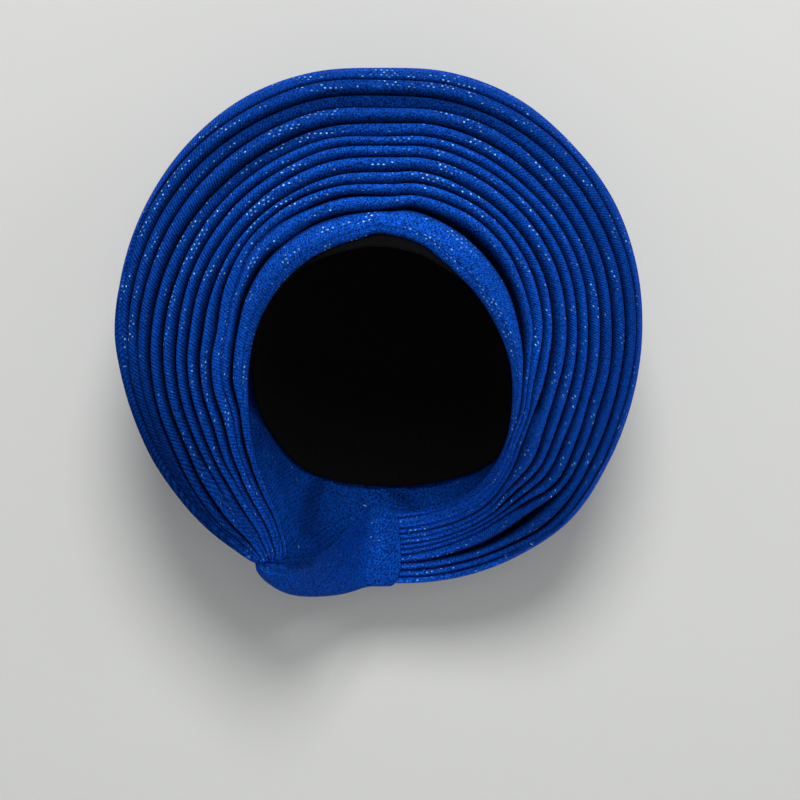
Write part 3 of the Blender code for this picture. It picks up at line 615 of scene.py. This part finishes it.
def coverStart(turn):
    clock = turn if turn <= 268.0 else turn - 360.0
    outer = rimPoint(clock)
    if -92.0 <= clock <= 243.0:
        inner = edgePoint(clock)
    else:
        inner = clockPoint(clock, 0.72 * rows["rimRadius"], outer.y + 0.10 * hollowForm["halfLength"])
    across, front = sectionAxes(inner, outer, clock)
    behind = cover["rollDepth"] * walls["cloth"] + cover["offRim"]
    openStart = outer - across * (cover["rollWidth"] * walls["cloth"]) - front * behind
    tucked = outer.y + cover["tuckDepth"] * walls["cloth"]
    hidden = clockPoint(clock, cover["tuckRadius"] * rows["rimRadius"], tucked)
    covered = ease((clock - 226.0) / 14.0) if clock > 90.0 else ease((-45.0 - clock) / 25.0)
    return openStart.lerp(hidden, covered)


def makeCover():
    grown = walls["cap"] + cover["offCap"] + walls["cloth"]
    centre = Vector((rows["centreX"], 0.0, mix(
        rows["centreZ"], -hollowForm["dome"] - hollowForm["napeDrop"], cover["centre"])))
    steps = cover["flareSteps"] + cover["domeSteps"]
    lines, uvs, paintedShades = [], [], []
    for section in range(cover["sections"] + 1):
        turn = 360.0 * (section % cover["sections"]) / cover["sections"]
        start = coverStart(turn) + Vector((0.0, walls["cloth"], 0.0))
        sloped = start.y + cover["slope"] * hollowForm["halfLength"]
        touchDepth = max(cover["touch"] * hollowForm["halfLength"], sloped)
        touch = clockPoint(turn, reach(turn, touchDepth, grown), touchDepth)
        angle = math.radians(turn)
        line, uv, paintedShade, down = [], [], [], 0.0
        for step in range(steps + 1):
            whole = step / steps
            if step < cover["flareSteps"]:
                part = step / cover["flareSteps"]
                sag = cover["sag"] * (touch - start).length * math.sin(math.pi * part)
                point = start.lerp(touch, part) - Vector((0.0, sag, 0.0))
            else:
                part = (step - cover["flareSteps"]) / cover["domeSteps"]
                flatX, flatZ = mix(touch.x, centre.x, part), mix(touch.z, centre.z, part)
                level = hollowLevel(flatX, 0.0, flatZ, grown)
                back = (hollowForm["halfLength"] + grown) * math.sqrt(max(1.0 - level, 0.0))
                point = Vector((flatX, back, flatZ))
            twist = cover["twist"] * whole * whole
            wave = math.cos((angle + twist) * cover["folds"] + 1.3 * drift(angle, 0.0, 2.0))
            slow = 2.0 * drift(angle * 2.0, whole, 5.0)
            fine = math.cos((angle + 0.5 * twist) * 3.0 * cover["folds"] + slow)
            shape = math.sin(math.pi * min(whole * 1.02, 1.0)) ** 0.8
            crease = 0.5 + 0.5 * wave
            lift = shape * (cover["foldHeight"] * crease ** 0.7 + cover["fineHeight"] * whole * fine)
            point = point + Vector((0.0, lift, 0.0))
            down += (point - line[-1]).length if line else 0.0
            line.append(point)
            uv.append(down)
            # painted shade in the fold creases, on top of the cover's painted shade
            paintedShade.append(max(shape * (1.0 - crease) * 0.8, cover["shade"]))
        lines.append(line)
        toCentre = [mm * (down - passed) for passed in uv]
        uvs.append([(length * math.cos(angle), length * math.sin(angle)) for length in toCentre])
        paintedShades.append(paintedShade)
    piece = clothGrid("backCover", lines, uvs, paintedShades, Vector((0.0, 1.0, 0.0)), walls["cloth"])
    dress(piece, "back_cover", bluePlain)


makeCover()

# the tail from the pinch to its open mouth at the back edge, which takes in the other end of the rows

tail = {
    "rings": 70, "around": 88, "squareness": 2.6,
    # painted shade: all over, on the upper half near the pinch, and at the pinch
    "shade": 0.42, "upperShade": 0.75, "pinchShade": 0.8,
    # place, then turn, radius in rimRadius and depth in halfLength of the upper line and of the lower one,
    # and the half thickness in cloth walls
    "rows": (
        (0, 245.0, 0.962, 0.085, 241.4, 1.004, 0.115, 2.0),
        (1, 247.4, 0.932, 0.090, 242.6, 1.030, 0.125, 3.2),
        (2, 250.6, 0.912, 0.140, 245.4, 1.054, 0.170, 4.2),
        (3, 254.0, 0.890, 0.240, 249.6, 1.071, 0.240, 4.6),
        (4, 257.0, 0.850, 0.380, 254.0, 1.068, 0.355, 4.5),
        (5, 261.5, 0.765, 0.620, 261.0, 1.045, 0.570, 3.9),
        (6, 267.0, 0.694, 0.820, 267.0, 1.010, 0.681, 3.5),
        (7, 273.5, 0.692, 0.800, 273.5, 1.006, 0.655, 3.5),
    ),
}


def makeTail():
    lines, uvs, paintedShades = [], [], []
    along, middleBefore = 0.0, None
    power = tail["squareness"]
    for ring in range(-1, tail["rings"] + 1):
        place = 7.0 * max(ring, 0) / tail["rings"]
        row = readTable(tail["rows"], place)
        upper = clockPoint(row[0], row[1] * rows["rimRadius"], row[2] * hollowForm["halfLength"])
        lower = clockPoint(row[3], row[4] * rows["rimRadius"], row[5] * hollowForm["halfLength"])
        across, front = sectionAxes(upper, lower, (row[0] + row[3]) / 2.0)
        halfHeight, halfDepth = (lower - upper).length / 2.0, row[6] * walls["cloth"]
        middle = (upper + lower) / 2.0
        along += (middle - middleBefore).length if middleBefore else 0.0
        middleBefore = middle
        line, uv, paintedShade, around = [], [], [], 0.0
        mouth = ease((place - 5.6) / 1.4)
        pinched = ease(1.0 - place / 2.4)
        for point in range(tail["around"] + 1):
            angle = 2.0 * math.pi * (point % tail["around"]) / tail["around"]
            side, rise = math.cos(angle), math.sin(angle)
            size = (abs(side) ** power + abs(rise) ** power) ** (-1.0 / power)
            fold = math.cos(9.0 * side * size + 0.8 * place + 1.2 * drift(place, side, 3.0))
            depth = halfDepth * (1.0 + (0.05 + 0.16 * pinched) * fold)
            depth += 0.0004 * drift(side * 3.0, place * 1.5, 7.0)
            slip = Vector((mouth * (0.003 - 0.008 * side ** 4), 0.0, 0.0))
            spot = middle + slip
            if ring >= 0:
                spot += across * (side * size * halfHeight) + front * (rise * size * depth)
            around += (spot - line[-1]).length if line else 0.0
            line.append(spot)
            uv.append((mm * along, mm * around))
            # painted shade in the creases of the pinched folds, on the upper half, at the pinch and all over
            onTop = tail["upperShade"] * ease((0.15 - side) / 0.6) * ease((5.0 - place) / 2.5)
            nearPinch = tail["pinchShade"] * ease(1.0 - place / 0.9)
            paintedShade.append(max(0.6 * pinched * (0.5 - 0.5 * fold), onTop, nearPinch, tail["shade"]))
        lines.append(line)
        uvs.append(uv)
        paintedShades.append(paintedShade)
    piece = clothGrid("gatheredTail", lines, uvs, paintedShades, None, walls["cloth"])
    dress(piece, "gathered_tail", bluePlain)


makeTail()

# the black cap

cap = {
    "sections": 176, "rings": 52, "hem": 0.006, "hemRise": 0.0003, "lowest": 150.0, "meanRadius": 0.085,
    # turn seen from above with the front at -90, height in the dome
    "rim": (
        (-200, -0.900), (-180, -0.640), (-163, -0.490), (-141, -0.391), (-124, -0.335), (-107, -0.295),
        (-92, -0.278), (-74, -0.312), (-65, -0.358), (-54, -0.418), (-40, -0.500), (-28, -0.620),
        (-17, -0.780), (0, -0.970), (30, -1.170), (60, -1.310), (90, -1.360), (120, -1.290),
        (140, -1.120), (160, -0.900), (180, -0.640), (197, -0.490),
    ),
}


def capPoint(angle, down, grown):
    direction = Vector((math.cos(angle) * math.sin(down), math.sin(angle) * math.sin(down), math.cos(down)))
    near, far = 0.0, 2.0 * hollowForm["dome"]
    for step in range(24):
        middle = (near + far) / 2.0
        point = direction * middle
        if hollowLevel(point.x, point.y, point.z - hollowForm["dome"], grown) < 1.0:
            near = middle
        else:
            far = middle
    return direction * far - Vector((0.0, 0.0, hollowForm["dome"]))


def makeCap():
    lines, uvs, paintedShades = [], [], []
    for section in range(cap["sections"] + 1):
        turn = 360.0 * (section % cap["sections"]) / cap["sections"]
        angle = math.radians(turn)
        rimHeight = readTable(cap["rim"], turn if turn <= 180.0 else turn - 360.0)[0] * hollowForm["dome"]
        high, low = 0.0, math.radians(cap["lowest"])
        for step in range(24):
            middle = (high + low) / 2.0
            if capPoint(angle, middle, 0.0).z > rimHeight:
                high = middle
            else:
                low = middle
        line, uv, down = [], [], 0.0
        for ring in range(cap["rings"] + 1):
            part = ring / cap["rings"]
            toRim = (1.0 - part) * low * 0.1
            hem = ease(1.0 - toRim / cap["hem"]) * cap["hemRise"]
            point = capPoint(angle, low * part, walls["cap"] + hem)
            down += (point - line[-1]).length if line else 0.0
            line.append(point)
            uv.append((mm * section / cap["sections"] * 2.0 * math.pi * cap["meanRadius"], mm * down))
        lines.append(line)
        uvs.append(uv)
        paintedShades.append([0.0] * len(line))
    piece = clothGrid("innerCap", lines, uvs, paintedShades, None, walls["cap"])
    dress(piece, "inner_cap", blackKnit)


makeCap()
print("pieces made")

# pale studio: one sweep of floor and wall, soft lights and the camera at the photo's angle

studio = {
    "wallDepth": 0.118, "floorHeight": -0.62, "halfWidth": 6.0, "front": -6.0, "top": 4.0, "sweep": 0.08,
    "sweepSteps": 12, "paper": "#CFD0CE", "sky": "#EDEFF2", "skyStrength": 0.28,
    # name, place, aim, size, power, colour
    "lights": (
        ("keyLight", (0.06, -1.40, 0.95), (0.0, 0.0, -0.08), 0.8, 26.3, "#FFFEFC"),
        ("frontLight", (0.10, -2.00, 0.10), (0.0, 0.0, -0.10), 0.8, 3.0, "#FFFEFC"),
        ("rightLight", (1.25, -0.95, 0.35), (0.0, 0.0, -0.08), 0.9, 1.8, "#F6F9FF"),
        ("leftLight", (-1.35, -0.85, 0.15), (0.0, 0.0, -0.10), 0.9, 0.6, "#F6F9FF"),
    ),
}


def makeStudio():
    shape = bmesh.new()
    wall = studio["wallDepth"]
    line = [(studio["front"], studio["floorHeight"])]
    for step in range(studio["sweepSteps"] + 1):
        angle = math.radians(90.0 * step / studio["sweepSteps"])
        line.append((
            wall - studio["sweep"] + studio["sweep"] * math.sin(angle),
            studio["floorHeight"] + studio["sweep"] * (1.0 - math.cos(angle)),
        ))
    line.append((wall, studio["top"]))
    verts = [shape.verts.new((-studio["halfWidth"], depth, height)) for depth, height in line]
    edges = [shape.edges.new((verts[at], verts[at + 1])) for at in range(len(verts) - 1)]
    made = bmesh.ops.extrude_edge_only(shape, edges=edges)
    moved = [part for part in made["geom"] if isinstance(part, bmesh.types.BMVert)]
    bmesh.ops.translate(shape, verts=moved, vec=(2.0 * studio["halfWidth"], 0.0, 0.0))
    bmesh.ops.recalc_face_normals(shape, faces=shape.faces)
    if sum(face.normal.y * face.calc_area() for face in shape.faces) > 0.0:
        bmesh.ops.reverse_faces(shape, faces=shape.faces)
    mesh = bpy.data.meshes.new("paperSweep")
    shape.to_mesh(mesh)
    shape.free()
    mesh.shade_smooth()
    sweep = bpy.data.objects.new("paperSweep", mesh)
    bpy.context.scene.collection.objects.link(sweep)
    paper, shader = newMaterial("studioPaper", 0.9, 0.0, 0.0)
    shader.inputs["Base Color"].default_value = linear(studio["paper"])
    behind = addNode(paper, "NewGeometry").outputs["Backfacing"]  # the paper is see-through from behind
    clear = addNode(paper, "BsdfTransparent").outputs[0]
    blend = addNode(paper, "MixShader", in0=behind, in1=shader.outputs[0], in2=clear).outputs[0]
    paper.node_tree.links.new(blend, paper.node_tree.nodes["Material Output"].inputs["Surface"])
    mesh.materials.append(paper)
    for name, place, aim, size, power, colour in studio["lights"]:
        data = bpy.data.lights.new(name, "AREA")
        data.shape = "DISK"
        data.size = size
        data.energy = power
        data.color = linear(colour)[:3]
        light = bpy.data.objects.new(name, data)
        light.location = place
        light.rotation_euler = (Vector(aim) - Vector(place)).to_track_quat("-Z", "Y").to_euler()
        bpy.context.scene.collection.objects.link(light)
    world = bpy.data.worlds.new("softSky")
    world.use_nodes = True
    sky = world.node_tree.nodes["Background"]
    sky.inputs["Color"].default_value = linear(studio["sky"])
    sky.inputs["Strength"].default_value = studio["skyStrength"]
    bpy.context.scene.world = world


view = {"place": (0.0084, -1.095, -0.1105), "lens": 90.9}


def makeCamera():
    data = bpy.data.cameras.new("photoView")
    data.lens = view["lens"]
    data.sensor_width = 36.0
    camera = bpy.data.objects.new("photoView", data)
    camera.location = view["place"]
    camera.rotation_euler = (math.radians(90.0), 0.0, 0.0)
    bpy.context.scene.collection.objects.link(camera)
    bpy.context.scene.camera = camera


makeStudio()
makeCamera()
bpy.context.scene.view_settings.view_transform = "Standard"

print("studio ready")
